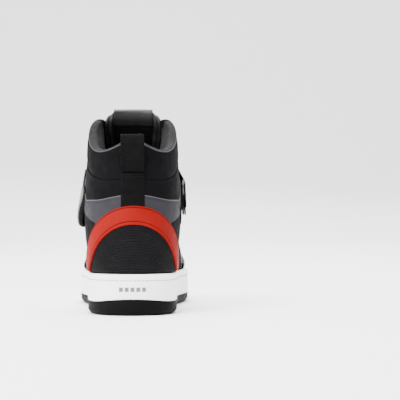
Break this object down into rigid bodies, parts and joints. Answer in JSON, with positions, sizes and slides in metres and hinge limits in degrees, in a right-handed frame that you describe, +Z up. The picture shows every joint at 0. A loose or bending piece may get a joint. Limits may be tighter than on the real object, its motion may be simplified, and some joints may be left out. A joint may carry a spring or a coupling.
{
  "type": "basketball high top shoe",
  "caption": "Padded left basketball high top with an ankle strap and ring, laced throat, heel arch band and cup sole.",
  "frame": {"origin": "on the ground under the middle of the sole: the centre of the sole's plan box, at the outsole's lower face", "axes": "+X towards the inner (medial) side of the foot, +Y towards the toe, +Z up"},
  "size_m": [0.1134, 0.3004, 0.1968],
  "materials": {
    "black_rubber": "satin moulded rubber",
    "white_foam": "smooth moulded rubber cup",
    "core_foam": "open foam",
    "gel": "soft gel",
    "shank_plate": "moulded plate",
    "board": "pressed fibre board",
    "sock_fabric": "knitted top cloth",
    "badge_grey": "raised bars",
    "ribbed_mesh": "ribbed textile",
    "counter_board": "stiff heel and toe board",
    "red_leather": "smooth sewn band",
    "grey_leather": "fine grain",
    "black_nubuck": "fine matt grain",
    "black_leather": "soft grain",
    "lining_mesh": "brushed lining",
    "light_trim": "smooth trim",
    "dark_metal": "satin painted metal",
    "black_lace": "flat woven lace",
    "tongue_fabric": "padded cloth",
    "black_webbing": "woven tape",
    "hook_loop": "hook and loop"
  },
  "bodies": {
    "upper": {"outsole": "black_rubber", "midsole": "white_foam", "midsole_core": "core_foam", "heel_pad": "gel", "shank": "shank_plate", "insole_board": "board", "heel_badge": "badge_grey", "heel_panel": "ribbed_mesh", "heel_counter": "counter_board", "heel_arch": "red_leather", "wing_lateral": "grey_leather", "wing_medial": "grey_leather", "back_panel": "black_nubuck", "collar_cuff": "black_leather", "collar_foam": "core_foam", "lining": "lining_mesh", "quarter_lateral": "black_nubuck", "quarter_medial": "black_nubuck", "side_trim": "light_trim", "vamp": "black_leather", "toe_overlay": "black_leather", "toe_puff": "counter_board", "throat_bar": "black_leather", "eyestay_lateral": "black_leather", "eyestay_medial": "black_leather", "eyelets": "dark_metal", "laces": "black_lace", "tongue_lower": "tongue_fabric", "lace_keeper": "black_webbing", "heel_tape": "black_webbing", "strap": "black_webbing", "loop_patch": "hook_loop", "strap_ring": "dark_metal", "ring_keeper": "black_webbing"},
    "pull_loop": {"pull_loop": "black_webbing"},
    "tongue_top": {"tongue_top": "tongue_fabric", "tongue_cap": "black_leather"},
    "strap_tab": {"strap_tab": "black_leather", "tab_shell": "light_trim", "hook_patch": "hook_loop"},
    "sockliner": {"sockliner": "sock_fabric"}
  },
  "joints": [
    {"name": "strap_peel", "type": "hinge", "parent": "upper", "child": "strap_tab", "pos_m": [-0.0468, -0.03961, 0.1269], "axis": [0, 0.5446, -0.8387], "range_deg": [0, 110]},
    {"name": "tongue_fold", "type": "hinge", "parent": "upper", "child": "tongue_top", "pos_m": [0, -0.0235, 0.166], "axis": [-1, 0, 0], "range_deg": [-8, 35], "stiffness_Nm_per_rad": 0.12},
    {"name": "loop_pull", "type": "hinge", "parent": "upper", "child": "pull_loop", "pos_m": [0, -0.1406, 0.1322], "axis": [1, 0, 0], "range_deg": [0, 50], "stiffness_Nm_per_rad": 0.02},
    {"name": "sockliner_lift", "type": "hinge", "parent": "upper", "child": "sockliner", "pos_m": [0.007, 0.1365, 0.0275], "axis": [-1, 0, 0], "range_deg": [0, 5]}
  ]
}
